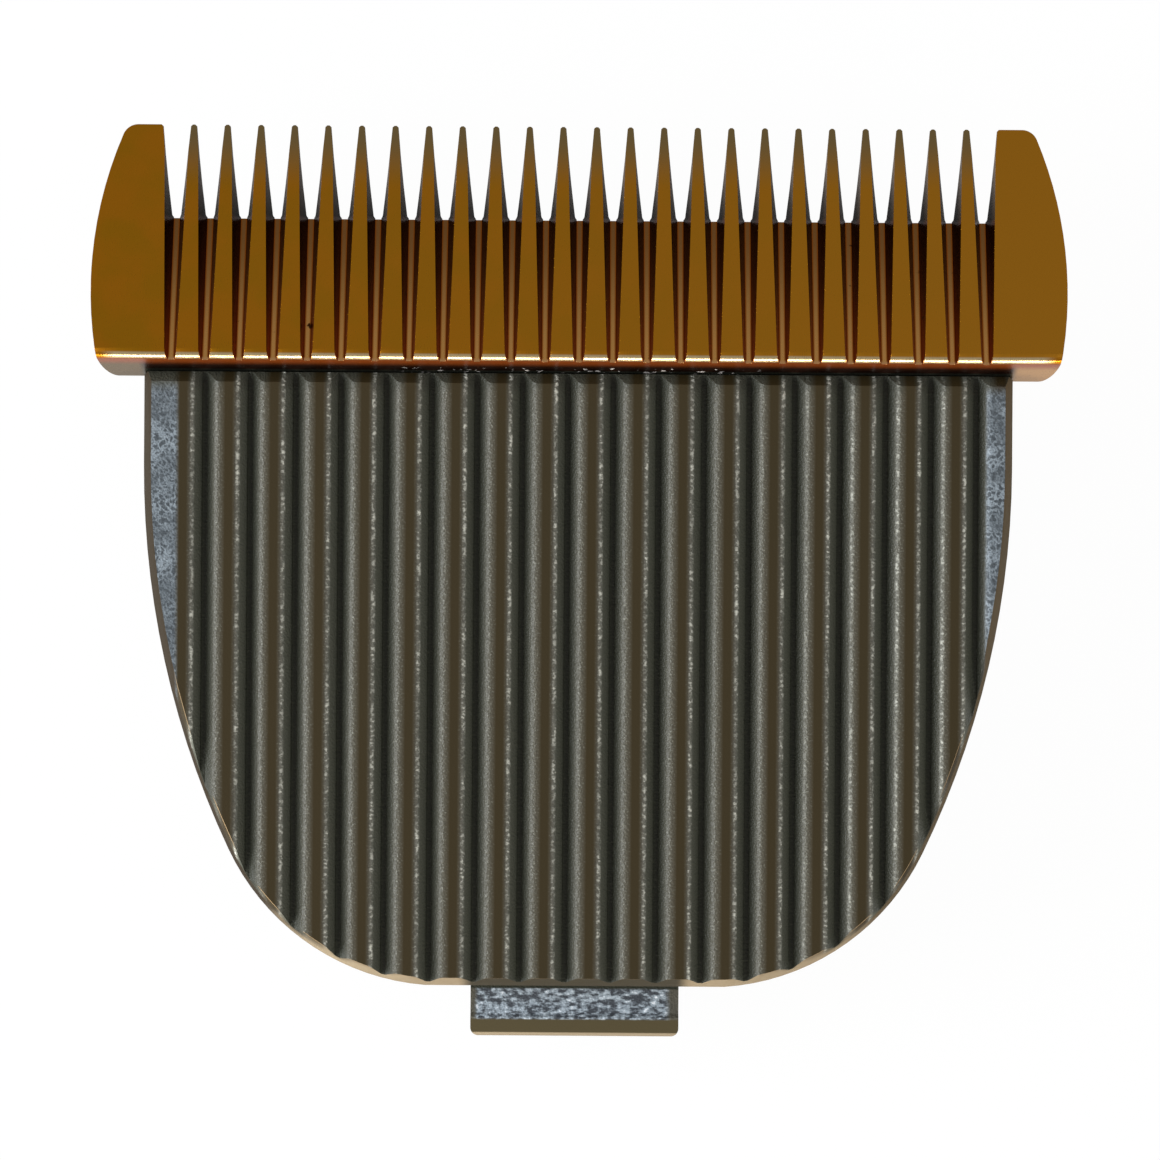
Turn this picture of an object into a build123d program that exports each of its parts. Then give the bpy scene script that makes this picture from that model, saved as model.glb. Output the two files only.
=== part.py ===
from build123d import *
from math import asin, atan2, cos, hypot, pi, radians, sin, sqrt, tan
import os

# Snap-in hair clipper blade, in millimetres, skin side up.
# +X runs along the row of teeth, +Y towards the tooth tips, +Z out of the ribbed face.
# The origin is under the middle of the whole head, on the plane of the carrier's rim.

# Comb blade: a hardened steel wedge, thin at the tips and thick at the back
tooth_count = 24
tooth_pitch = 1.6
tooth_length = 4.45
tooth_tip_width = 0.27
tooth_tip_chamfer = 0.08
tooth_tip_thickness = 0.16
gap_root_width = 0.46
gap_side_bow = 0.03
comb_width = 46.1
comb_length = 11.98
comb_back_thickness = 3.1
comb_back_lean = 14.0
comb_back_radius = 0.42
ear_widest_from_tip = 7.5
ear_side_radius = 19.5
ear_tip_radius = 0.75
ear_back_radius = 0.8

# Grooves ground into the comb's skin face, one behind each gap
groove_floor_width = 0.28
groove_wall_angle = 15.0
groove_back_depth = 0.55

# Carrier: one plastic moulding with a ribbed plate, a skirt and a hook
carrier_length = 28.91
ear_overhang = 2.4
side_straight = 4.2
side_radius = 42.5
corner_radius = 11.3
rear_trim = 0.03
skirt_depth = 5.5
skirt_wall = 1.3
plate_thickness = 1.4
edge_bevel_inset = 0.45
edge_bevel_drop = 1.2

# Ribs along the plate, parted by valleys
valley_count = 18
valley_row_shift = 0.58
valley_width = 1.15
valley_floor_width = 0.2
rib_pitch = 2.15
rib_height = 0.6
rib_shoulder_radius = 0.4
rib_front_bevel = 0.5

# Seat under the comb blade
seat_drop = 1.7
seat_depth = 3.6
seat_bar_height = 3.4
seat_clearance = 0.1

# Hook at the rear
hook_length = 2.61
hook_width = 10.0
hook_thickness = 1.3
hook_top_drop = 2.9
hook_lip_width = 1.1
hook_lip_height = 0.2
hook_lip_radius = 0.2
hook_corner_radius = 0.4

# Catches inside the skirt
catch_radius = 0.5
catch_length = 4.0
catch_from_bar = 3.5
catch_height = 2.0

# Cutter: the sliding blade under the comb
cutter_stroke = 2.6
cutter_gap = 0.02
cutter_thickness = 1.0
cutter_tip_setback = 0.9
cutter_tooth_length = 3.6
cutter_tip_width = 0.2
cutter_root_width = 0.85
cutter_tip_thickness = 0.35
cutter_end_margin = 0.5
guide_clearance = 0.08

# Drive slider: the plastic block staked to the cutter
pad_width = 14.0
pad_depth = 2.9
pad_thickness = 1.2
stake_radius = 0.8
stake_spacing = 9.6
stake_recess = 0.1
stake_clearance = 0.02
neck_width = 8.0
neck_drop = 0.3
neck_headroom = 0.2
neck_side_room = 0.4
fork_slot_width = 5.0
fork_slot_depth = 4.2
fork_wall = 2.0
fork_web = 1.5
fork_height = 3.5
fork_mouth_chamfer = 0.5
wing_length = 4.0
wing_depth = 2.6
wing_thickness = 1.2
slider_edge_radius = 0.3

# Torsion springs that press the slider and cutter up against the comb
spring_wire = 0.5
spring_wire_sides = 6
spring_radius = 1.25
spring_coil_pitch = 0.56
spring_whole_turns = 2
spring_part_turn = 0.25
spring_reach = 7.0
spring_drop = 2.9
spring_touch_gap = 0.06
spring_side_gap = 0.1
spring_post_gap = 0.1
spring_end_gap = 0.1
post_overhang = 0.5
lug_thickness = 1.2
lug_margin = 0.5
stop_depth = 1.0
stop_clearance = 0.06

# Screws that hold the comb to its seat
screw_radius = 1.0
screw_head_radius = 1.8
screw_head_height = 1.1
screw_head_chamfer = 0.35
screw_grip = 2.0
screw_engagement = 1.5
screw_tip_room = 0.15
screw_hole_clearance = 0.1
screw_thread_clearance = 0.02
screw_head_clearance = 0.2
screw_inset = 4.1
screw_from_comb_back = 1.8
recess_width = 0.55
recess_span = 2.0
recess_depth = 0.7

# Room that a cutting shape reaches past the face it cuts
cut_margin = 2.0

# Heights
plate_under_z = skirt_depth
plate_z = plate_under_z + plate_thickness
crest_z = plate_z + rib_height
seat_z = crest_z - seat_drop
seat_bar_z = seat_z - seat_bar_height
comb_top_z = seat_z + comb_back_thickness
cutter_z = seat_z - cutter_gap
cutter_under_z = cutter_z - cutter_thickness
neck_z = cutter_under_z - neck_drop
neck_under_z = cutter_under_z - pad_thickness
notch_z = neck_z + neck_headroom
screw_seat_z = seat_z - screw_grip

# Places along the head, from the tooth tips to the end of the hook
overall_length = comb_length + carrier_length + hook_length
tip_y = overall_length / 2
gap_root_y = tip_y - tooth_length
comb_back_y = tip_y - comb_length
back_slope = tan(radians(comb_back_lean))
comb_back_top_y = comb_back_y + comb_back_thickness * back_slope
plate_front_y = comb_back_y - seat_clearance
seat_front_y = comb_back_y + seat_depth
carrier_rear_y = comb_back_y - carrier_length
hook_end_y = -overall_length / 2
screw_y = comb_back_y + screw_from_comb_back
cutter_back_y = seat_front_y + guide_clearance
cutter_tip_y = tip_y - cutter_tip_setback
cutter_root_y = cutter_tip_y - cutter_tooth_length
stake_y = (cutter_back_y + cutter_root_y) / 2
slider_front_y = plate_front_y - guide_clearance
wing_back_y = slider_front_y - wing_depth
fork_front_y = slider_front_y - fork_web
fork_back_y = fork_front_y - fork_slot_depth

# Widths
gap_count = tooth_count + 1
comb_half = comb_width / 2
carrier_half = comb_half - ear_overhang
hollow_half = carrier_half - skirt_wall
screw_x = hollow_half - screw_inset
cutter_half = (tooth_count - 1) * tooth_pitch / 2 + cutter_root_width / 2 + cutter_end_margin
stroke_half = cutter_stroke / 2
notch_half = neck_width / 2 + stroke_half + neck_side_room
fork_half = fork_slot_width / 2 + fork_wall
wing_half = fork_half + wing_length

# Spring places, worked back from where its leg bears on the slider's wing
spring_touch_x = fork_half + wing_length / 2
spring_touch_y = (slider_front_y + wing_back_y) / 2
spring_touch_z = neck_z - wing_thickness - spring_touch_gap - spring_wire / 2
spring_y = spring_touch_y - spring_reach
spring_z = plate_under_z - spring_drop
spring_lead = spring_coil_pitch / (2 * pi * spring_radius)
touch_rise = spring_touch_z - spring_z
touch_distance = hypot(spring_reach, touch_rise)
leg_slope = atan2(touch_rise, spring_reach) + asin(spring_radius / touch_distance)
leg_run = sqrt(touch_distance**2 - spring_radius**2)
spring_turns = spring_whole_turns + spring_part_turn + leg_slope / (2 * pi)
coil_length = spring_turns * spring_coil_pitch
coil_inner_x = spring_touch_x + leg_run * spring_lead
coil_outer_x = coil_inner_x + coil_length
short_leg = plate_under_z - spring_z - spring_end_gap
lug_x = coil_outer_x + spring_wire / 2 + short_leg * spring_lead + spring_side_gap
post_radius = spring_radius - spring_wire / 2 - spring_post_gap
coil_outside_radius = spring_radius + spring_wire / 2


def both_sides(shape):
    """The shape and its mirror image across the head's middle plane."""
    return shape + mirror(shape, about=Plane.YZ)


def span_box(low, high):
    """A box between two opposite corners."""
    size = [b - a for a, b in zip(low, high)]
    middle = [(a + b) / 2 for a, b in zip(low, high)]
    return Pos(*middle) * Box(*size)


def across(points):
    """A closed outline in the head's side view, given as (y, z) points."""
    side_view = Plane(origin=(0, 0, 0), x_dir=(0, 1, 0), z_dir=(1, 0, 0))
    return side_view * make_face(Polyline(*points, close=True))


def round_bore(x, y, low_z, high_z, radius):
    """An upright round cutting shape between two heights."""
    return Pos(x, y, (low_z + high_z) / 2) * Cylinder(radius, high_z - low_z)


def gap_places():
    """The middle of each gap between two teeth."""
    return [(i - (gap_count - 1) / 2) * tooth_pitch for i in range(gap_count)]


def tooth_places():
    """The middle of each tooth."""
    return [(i - (tooth_count - 1) / 2) * tooth_pitch for i in range(tooth_count)]


def comb_gap(x):
    """The plan of one gap: bowed sides that close in to a round root."""
    tip_half = (tooth_pitch - tooth_tip_width) / 2
    root_half = gap_root_width / 2
    root_side_y = gap_root_y + root_half
    bow_x = (tip_half + root_half) / 2 + gap_side_bow
    bow_y = (tip_y + root_side_y) / 2
    open_y = tip_y + cut_margin
    edges = [
        Line((-tip_half, open_y), (tip_half, open_y)),
        Line((tip_half, open_y), (tip_half, tip_y)),
        ThreePointArc((tip_half, tip_y), (bow_x, bow_y), (root_half, root_side_y)),
        ThreePointArc((root_half, root_side_y), (0, gap_root_y), (-root_half, root_side_y)),
        ThreePointArc((-root_half, root_side_y), (-bow_x, bow_y), (-tip_half, tip_y)),
        Line((-tip_half, tip_y), (-tip_half, open_y)),
    ]
    return Pos(x, 0) * make_face(edges)


def comb_plan():
    """The comb seen from above: two round-sided ears and the row of teeth between them."""
    widest_y = tip_y - ear_widest_from_tip

    def side_x(y):
        return comb_half - ear_side_radius + sqrt(ear_side_radius**2 - (y - widest_y) ** 2)

    tip_x = side_x(tip_y)
    back_x = side_x(comb_back_y)
    edges = [
        Line((-tip_x, tip_y), (tip_x, tip_y)),
        ThreePointArc((tip_x, tip_y), (comb_half, widest_y), (back_x, comb_back_y)),
        Line((back_x, comb_back_y), (-back_x, comb_back_y)),
        ThreePointArc((-back_x, comb_back_y), (-comb_half, widest_y), (-tip_x, tip_y)),
    ]
    plan = make_face(edges)
    plan = fillet(plan.vertices().group_by(Axis.Y)[0], ear_back_radius)
    plan = fillet(plan.vertices().group_by(Axis.Y)[-1], ear_tip_radius)
    plan = plan - [comb_gap(x) for x in gap_places()]
    tip_corners = plan.vertices().group_by(Axis.Y)[-1].sort_by(Axis.X)[1:-1]
    return chamfer(tip_corners, tooth_tip_chamfer)


def comb_wedge():
    """The comb's side view, run across the whole width."""
    profile = across(
        [
            (tip_y, seat_z),
            (tip_y, seat_z + tooth_tip_thickness),
            (comb_back_top_y, comb_top_z),
            (comb_back_y, seat_z),
        ]
    )
    profile = fillet(profile.vertices().sort_by(Axis.Z)[-1], comb_back_radius)
    return extrude(profile, amount=comb_half, both=True)


def comb_groove(x):
    """One ground groove: its floor leaves the comb at the gap's root and climbs to the back."""
    run = gap_root_y - comb_back_top_y
    rise = comb_back_thickness - groove_back_depth
    climb = atan2(rise, run)
    height = comb_back_thickness + cut_margin
    floor_half = groove_floor_width / 2
    top_half = floor_half + height * tan(radians(groove_wall_angle))
    front_reach = tooth_length + cut_margin
    start = (x, gap_root_y + front_reach * cos(climb), seat_z - front_reach * sin(climb))
    wheel = Plane(origin=start, x_dir=(1, 0, 0), z_dir=(0, -cos(climb), sin(climb)))
    profile = make_face(
        Polyline(
            (-floor_half, 0), (floor_half, 0), (top_half, height), (-top_half, height), close=True
        )
    )
    return extrude(wheel * profile, amount=front_reach + comb_length + cut_margin)


def make_comb_blade():
    """The fixed blade, with grooves on the skin face and two blind holes underneath."""
    blade = extrude(Pos(0, 0, seat_z) * comb_plan(), amount=comb_back_thickness) & comb_wedge()
    blade = blade - [comb_groove(x) for x in gap_places()]
    hole_top = seat_z + screw_engagement + screw_tip_room
    hole = round_bore(screw_x, screw_y, seat_z - cut_margin, hole_top, screw_radius + screw_thread_clearance)
    return blade - both_sides(hole)


def carrier_outline(inset, front_y):
    """The carrier from above, drawn in by an inset: straight sides, two arcs, straight rear edge."""
    side_end_y = comb_back_y - side_straight
    side_centre = (carrier_half - side_radius, side_end_y)
    corner_y = carrier_rear_y - rear_trim + corner_radius
    corner_x = side_centre[0] + sqrt((side_radius - corner_radius) ** 2 - (corner_y - side_end_y) ** 2)
    half = carrier_half - inset
    side_r = side_radius - inset
    corner_r = corner_radius - inset
    rear_y = carrier_rear_y + inset
    rear_x = corner_x + sqrt(corner_r**2 - (corner_y - rear_y) ** 2)
    join_angle = atan2(corner_y - side_end_y, corner_x - side_centre[0])
    rear_angle = atan2(rear_y - corner_y, rear_x - corner_x)
    corner_angle = (join_angle + rear_angle) / 2

    def on_side(angle):
        return (side_centre[0] + side_r * cos(angle), side_centre[1] + side_r * sin(angle))

    bend = (corner_x + corner_r * cos(corner_angle), corner_y + corner_r * sin(corner_angle))
    right = [
        Line((0, front_y), (half, front_y)),
        Line((half, front_y), (half, side_end_y)),
        ThreePointArc((half, side_end_y), on_side(join_angle / 2), on_side(join_angle)),
        ThreePointArc(on_side(join_angle), bend, (rear_x, rear_y)),
        Line((rear_x, rear_y), (0, rear_y)),
    ]
    left = [mirror(edge, about=Plane.YZ) for edge in right]
    return make_face(right + left)


def carrier_envelope():
    """The carrier's outer form: an upright skirt with a steep bevel up to the rib tops."""
    bevel_z = crest_z - edge_bevel_drop
    foot = carrier_outline(0, seat_front_y)
    crest_edge = Pos(0, 0, crest_z) * carrier_outline(edge_bevel_inset, seat_front_y)
    return extrude(foot, amount=bevel_z) + loft([Pos(0, 0, bevel_z) * foot, crest_edge], ruled=True)


def valley_places():
    """The middle of each valley."""
    return [valley_row_shift + (i - (valley_count - 1) / 2) * rib_pitch for i in range(valley_count)]


def ribbed_block():
    """A block as tall as the carrier whose top face is parted into ribs, with flat side margins."""
    reach = carrier_half + cut_margin
    top_half = valley_width / 2
    floor_half = valley_floor_width / 2
    points = [(-reach, 0), (-reach, crest_z)]
    for x in valley_places():
        points += [(x - top_half, crest_z), (x - floor_half, plate_z)]
        points += [(x + floor_half, plate_z), (x + top_half, crest_z)]
    points += [(reach, crest_z), (reach, 0)]
    profile = make_face(Polyline(*points, close=True))
    shoulders = profile.vertices().group_by(Axis.Y)[-1].sort_by(Axis.X)[1:-1]
    profile = fillet(shoulders, rib_shoulder_radius)
    return extrude(Plane.XZ * profile, amount=overall_length, both=True)


def carrier_hook():
    """The tab at the rear: a flat tongue with a raised lip along its end."""
    top = plate_z - hook_top_drop
    under = top - hook_thickness
    root_y = carrier_rear_y + skirt_wall / 2
    lip_y = hook_end_y + hook_lip_width
    profile = across(
        [
            (root_y, under),
            (root_y, top),
            (lip_y, top),
            (lip_y - hook_lip_height, top + hook_lip_height),
            (hook_end_y, top + hook_lip_height),
            (hook_end_y, under),
        ]
    )
    end_corners = profile.vertices().group_by(Axis.Y)[0]
    profile = fillet(end_corners, hook_lip_radius)
    tongue = extrude(profile, amount=hook_width / 2, both=True)
    plan = Rectangle(hook_width, 2 * (root_y - hook_end_y))
    plan = fillet(plan.vertices(), hook_corner_radius)
    reach = Pos(0, root_y, under) * plan
    return tongue & extrude(reach, amount=hook_thickness + hook_lip_height)


def spring_mount():
    """On the right side: the lug and post that carry a coil, and the stop for its short leg."""
    post_length = lug_x - coil_inner_x + spring_wire / 2 + post_overhang
    lug_low = (lug_x, spring_y - coil_outside_radius - lug_margin, spring_z - coil_outside_radius)
    lug_high = (lug_x + lug_thickness, spring_y + coil_outside_radius, plate_under_z)
    post = Pos(lug_x - post_length / 2, spring_y, spring_z) * Rot(0, 90, 0)
    post = post * Cylinder(post_radius, post_length)
    leg_front_y = spring_y - spring_radius + spring_wire / 2 + stop_clearance
    stop_low = (coil_outer_x - spring_wire, leg_front_y, spring_z + coil_outside_radius + stop_clearance)
    stop_high = (lug_x, leg_front_y + stop_depth, plate_under_z)
    return span_box(lug_low, lug_high) + post + span_box(stop_low, stop_high)


def screw_bore():
    """On the right side: clearance hole through the seat bar, with a counterbore for the head."""
    shank = round_bore(screw_x, screw_y, 0, seat_z + cut_margin, screw_radius + screw_hole_clearance)
    head = round_bore(screw_x, screw_y, 0, screw_seat_z, screw_head_radius + screw_head_clearance)
    return shank + head


def carrier_catch():
    """On the right side: a round bead inside the skirt that snaps over the handpiece."""
    place = Pos(hollow_half, plate_front_y - catch_from_bar - catch_length / 2, catch_height)
    return place * Rot(90, 0, 0) * Cylinder(catch_radius, catch_length)


def make_blade_carrier():
    """The moulding that holds the comb and clips into the handpiece."""
    carrier = ribbed_block() & carrier_envelope()
    front = seat_front_y + cut_margin
    hollow = extrude(carrier_outline(skirt_wall, plate_front_y), amount=plate_under_z)
    seat_top_z = crest_z + cut_margin
    seat = across(
        [
            (plate_front_y, seat_z),
            (front, seat_z),
            (front, seat_top_z),
            (plate_front_y + (seat_top_z - seat_z) * back_slope, seat_top_z),
        ]
    )
    bar_room = span_box((-hollow_half, plate_front_y - cut_margin, 0), (hollow_half, front, seat_bar_z))
    notch = span_box((-notch_half, plate_front_y - cut_margin, 0), (notch_half, front, notch_z))
    rib_front_y = plate_front_y + (plate_z - seat_z) * back_slope
    rib_ends = across(
        [
            (rib_front_y, plate_z),
            (rib_front_y + rib_height * back_slope, crest_z),
            (rib_front_y - rib_front_bevel, crest_z),
        ]
    )
    carrier = carrier - hollow - bar_room - notch
    carrier = carrier - extrude(seat, amount=comb_half, both=True)
    carrier = carrier - extrude(rib_ends, amount=carrier_half, both=True)
    carrier = carrier + carrier_hook() + both_sides(spring_mount()) + both_sides(carrier_catch())
    return carrier - both_sides(screw_bore())


def cutter_tooth(x):
    """The plan of one cutter tooth, a plain taper."""
    tip_half = cutter_tip_width / 2
    root_half = cutter_root_width / 2
    overlap_y = cutter_root_y - cutter_end_margin
    outline = Polyline(
        (-root_half, overlap_y),
        (root_half, overlap_y),
        (root_half, cutter_root_y),
        (tip_half, cutter_tip_y),
        (-tip_half, cutter_tip_y),
        (-root_half, cutter_root_y),
        close=True,
    )
    return Pos(x, 0) * make_face(outline)


def make_cutter_blade():
    """The sliding blade: its teeth stand behind the comb's at rest and thin towards their tips."""
    body_depth = cutter_root_y - cutter_back_y
    body = Pos(0, cutter_back_y + body_depth / 2) * Rectangle(2 * cutter_half, body_depth)
    plan = body + [cutter_tooth(x) for x in tooth_places()]
    blade = extrude(Pos(0, 0, cutter_under_z) * plan, amount=cutter_thickness)
    relief = across(
        [
            (cutter_root_y, cutter_under_z),
            (cutter_tip_y, cutter_z - cutter_tip_thickness),
            (cutter_tip_y + cut_margin, cutter_z - cutter_tip_thickness),
            (cutter_tip_y + cut_margin, cutter_under_z - cut_margin),
            (cutter_root_y, cutter_under_z - cut_margin),
        ]
    )
    blade = blade - extrude(relief, amount=comb_half, both=True)
    hole_radius = stake_radius + stake_clearance
    hole = round_bore(
        stake_spacing / 2, stake_y, cutter_under_z - cut_margin, cutter_z + cut_margin, hole_radius
    )
    return blade - both_sides(hole)


def make_drive_slider():
    """The block that the handpiece's drive pin moves: pad, neck, wings and an open fork."""
    pad_low = (-pad_width / 2, cutter_back_y, neck_under_z)
    pad = span_box(pad_low, (pad_width / 2, cutter_back_y + pad_depth, cutter_under_z))
    neck = span_box(
        (-neck_width / 2, slider_front_y - fork_web, neck_under_z),
        (neck_width / 2, cutter_back_y + pad_depth / 2, neck_z),
    )
    wing_low = (-wing_half, wing_back_y, neck_z - wing_thickness)
    wings = span_box(wing_low, (wing_half, slider_front_y, neck_z))
    fork_low = (-fork_half, fork_back_y, neck_z - fork_height)
    fork = span_box(fork_low, (fork_half, slider_front_y, neck_z))
    fork = fillet(fork.edges().filter_by(Axis.Z), slider_edge_radius)
    slot_half = fork_slot_width / 2
    mouth_half = slot_half + fork_mouth_chamfer
    mouth_y = fork_back_y + fork_mouth_chamfer
    open_y = fork_back_y - cut_margin
    slot_plan = make_face(
        Polyline(
            (-slot_half, fork_front_y),
            (slot_half, fork_front_y),
            (slot_half, mouth_y),
            (mouth_half, fork_back_y),
            (mouth_half, open_y),
            (-mouth_half, open_y),
            (-mouth_half, fork_back_y),
            (-slot_half, mouth_y),
            close=True,
        )
    )
    slot_low_z = neck_z - fork_height - cut_margin
    slot = extrude(Pos(0, 0, slot_low_z) * slot_plan, amount=fork_height + 2 * cut_margin)
    stake = round_bore(stake_spacing / 2, stake_y, neck_under_z, cutter_z - stake_recess, stake_radius)
    return pad + neck + wings + fork - slot + both_sides(stake)


def make_left_spring():
    """A wound torsion spring: short leg up to its stop, coil on the post, long leg to the slider."""
    coil = Helix(spring_coil_pitch, coil_length, spring_radius)
    wire_start = Plane(origin=coil @ 0, z_dir=coil % 0)
    wire_end = Plane(origin=coil @ 1, z_dir=coil % 1)
    section = RegularPolygon(spring_wire / 2, spring_wire_sides)
    long_leg = leg_run * sqrt(1 + spring_lead**2)
    wire = sweep(wire_start * section, path=coil, is_frenet=True)
    wire = wire + extrude(wire_start * section, amount=-short_leg)
    wire = wire + extrude(wire_end * section, amount=long_leg)
    place = Plane(origin=(-coil_outer_x, spring_y, spring_z), x_dir=(0, -1, 0), z_dir=(1, 0, 0))
    return place.location * wire


def make_right_spring():
    """The other spring, wound the opposite way."""
    return mirror(make_left_spring(), about=Plane.YZ)


def make_comb_screws():
    """Two pan-head screws with a cross recess, driven up from inside the carrier."""
    head_under = screw_seat_z - screw_head_height
    shank_top = seat_z + screw_engagement
    head = Pos(0, 0, head_under + screw_head_height / 2) * Cylinder(screw_head_radius, screw_head_height)
    head = chamfer(head.edges().group_by(Axis.Z)[0], screw_head_chamfer)
    shank = round_bore(0, 0, screw_seat_z, shank_top, screw_radius)
    slot = Pos(0, 0, head_under + recess_depth / 2) * Box(recess_span, recess_width, recess_depth)
    screw = head + shank - slot - Rot(0, 0, 90) * slot
    return [Pos(side * screw_x, screw_y, 0) * screw for side in (-1, 1)]


os.makedirs("parts", exist_ok=True)
export_step(make_comb_blade(), "parts/comb_blade.step")
export_step(make_blade_carrier(), "parts/blade_carrier.step")
export_step(make_cutter_blade(), "parts/cutter_blade.step")
export_step(make_drive_slider(), "parts/drive_slider.step")
export_step(make_left_spring(), "parts/left_spring.step")
export_step(make_right_spring(), "parts/right_spring.step")
export_step(Compound(children=make_comb_screws()), "parts/comb_screws.step")
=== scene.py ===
from math import radians

import bmesh
import bpy
from bpy.props import FloatProperty, FloatVectorProperty, PointerProperty
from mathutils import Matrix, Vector


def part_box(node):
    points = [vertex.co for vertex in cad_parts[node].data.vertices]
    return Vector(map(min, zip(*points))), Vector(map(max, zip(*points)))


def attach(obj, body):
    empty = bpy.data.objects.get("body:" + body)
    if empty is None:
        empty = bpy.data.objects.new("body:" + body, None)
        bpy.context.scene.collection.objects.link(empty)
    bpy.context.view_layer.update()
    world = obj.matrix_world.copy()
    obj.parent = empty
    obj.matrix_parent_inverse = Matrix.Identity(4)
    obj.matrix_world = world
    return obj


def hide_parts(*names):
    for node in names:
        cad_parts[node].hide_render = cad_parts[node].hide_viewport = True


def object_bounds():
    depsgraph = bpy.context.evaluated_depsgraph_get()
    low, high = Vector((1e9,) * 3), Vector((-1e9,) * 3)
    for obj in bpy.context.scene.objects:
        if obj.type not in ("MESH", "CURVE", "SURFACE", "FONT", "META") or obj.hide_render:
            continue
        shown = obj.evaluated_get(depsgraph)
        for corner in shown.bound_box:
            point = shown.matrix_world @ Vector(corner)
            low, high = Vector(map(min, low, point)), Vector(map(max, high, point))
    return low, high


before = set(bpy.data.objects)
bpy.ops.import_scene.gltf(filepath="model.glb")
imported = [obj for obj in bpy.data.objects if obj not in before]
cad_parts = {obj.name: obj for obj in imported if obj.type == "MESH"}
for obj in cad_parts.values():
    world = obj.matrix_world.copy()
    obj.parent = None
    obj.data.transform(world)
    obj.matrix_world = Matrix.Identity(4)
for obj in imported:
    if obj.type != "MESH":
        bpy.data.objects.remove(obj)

bl_info = {
    "name": "Hair Clipper Blade",
    "version": (1, 0, 0),
    "blender": (4, 5, 0),
    "location": "View3D > Sidebar > Clipper",
    "description": "Dresses the clipper blade head and sets its stage",
    "category": "Object",
}

# Lengths are in metres and the frame's own axes: +X along the teeth, +Y to the tips, +Z up
MM = 0.001

# How the skin faces are told from the other faces of the solids
LAND_TILT = (0.9, 0.995)
LEVEL_SLACK = 0.005 * MM
COMB_CLEARANCE = 2 * MM

cad_low, cad_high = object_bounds()
comb_low, comb_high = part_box("comb_blade")
carrier_low, carrier_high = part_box("blade_carrier")


def land_plane():
    """The comb's ground skin face, as its normal and its distance from the origin."""
    areas = {}
    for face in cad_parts["comb_blade"].data.polygons:
        if LAND_TILT[0] < face.normal.z < LAND_TILT[1] and face.normal.y > 0:
            key = tuple(round(value, 3) for value in face.normal)
            total, _ = areas.get(key, (0.0, None))
            areas[key] = (total + face.area, face)
    _, face = max(areas.values(), key=lambda entry: entry[0])
    return face.normal.copy(), face.normal.dot(face.center)


def plate_corners(height):
    """The corner points of the carrier at a height, well behind the comb."""
    points = [vertex.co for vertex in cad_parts["blade_carrier"].data.vertices]
    behind = [point for point in points if point.y < comb_low.y - COMB_CLEARANCE]
    return [point for point in behind if abs(point.z - height) < LEVEL_SLACK]


# Sizes of the teeth, the ribs and the hook, as in the solids
tooth_length = 4.45 * MM
tooth_pitch = 1.6 * MM
ear_width = 2.95 * MM
rib_pitch = 2.15 * MM
rib_height = 0.6 * MM
hook_length = 2.61 * MM
lip_width = 1.1 * MM

# Places of the skin faces, measured from the solids
land_normal, land_offset = land_plane()
gap_root_y = comb_high.y - tooth_length
tooth_row_half = comb_high.x - ear_width
crest_z = carrier_high.z
valley_z = crest_z - rib_height
valley_points = plate_corners(valley_z)
valley_low_x = min(point.x for point in valley_points)
valley_high_x = max(point.x for point in valley_points)
rib_mid_x = (valley_low_x + valley_high_x) / 2
carrier_rear_y = carrier_low.y + hook_length
lip_front_y = carrier_low.y + lip_width


def band(start, full):
    """The ends of a fade: where a finish starts, and where it is full."""
    return {"From Min": start, "From Max": full}


# Comb: places, and how far a face is turned, by which its finishes are told apart
BELOW_LAND = band(0.03 * MM, 0.12 * MM)
FLOOR_FACING = band(0.7, 0.9)
WALL_FACING = band(0.75, 0.45)
TOOTH_ROW = band(tooth_row_half + 0.1 * MM, tooth_row_half)
FLOOR_LIT_MIDDLE = band(0.13 * MM, 0.05 * MM)
GROOVE_END = band(comb_low.y + 0.84 * MM, comb_low.y + 0.7 * MM)
GAP_ROOT = band(gap_root_y - 0.25 * MM, gap_root_y + 0.15 * MM)
GROOVE_RUN = band(gap_root_y, comb_low.y)
HIGHLIGHT_FACING = band(-0.1, -0.3)
BACK_FACING = band(-0.8, -0.93)
COMB_ACROSS = band(comb_low.x, comb_high.x)
TOOTH_TIPS = band(comb_high.y - 3.2 * MM, comb_high.y - 0.2 * MM)
BETWEEN_EARS = band(tooth_row_half - 0.8 * MM, tooth_row_half - 1.0 * MM)
TOOTH_RUN = band(gap_root_y, comb_high.y - 1.2 * MM)
GROOVE_SLOT = band(0.29 * MM, 0.23 * MM)
EAR_CORNER = band(comb_high.x - 1.3 * MM, comb_high.x - 0.5 * MM)
WALL_OVER_RIBS = band(carrier_high.x + 0.2 * MM, carrier_high.x - 0.2 * MM)
WALL_LIT = band(crest_z, comb_high.z - 0.4 * MM)
SEAM_SHADE_LINE = band(crest_z - 0.4 * MM, crest_z - 0.6 * MM)
SEAM_HEIGHT = band(crest_z + 0.05 * MM, crest_z - 0.1 * MM)
SPECK_MIDDLE = band(9 * MM, 7 * MM)

# Comb: shares of the noise that show as patches, dirt and pale seam specks
MOTTLE_PATCHES = band(0.35, 0.65)
DIRT_SPECKS = band(0.72, 0.78)
SEAM_SPECKS = band(0.63, 0.7)
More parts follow.
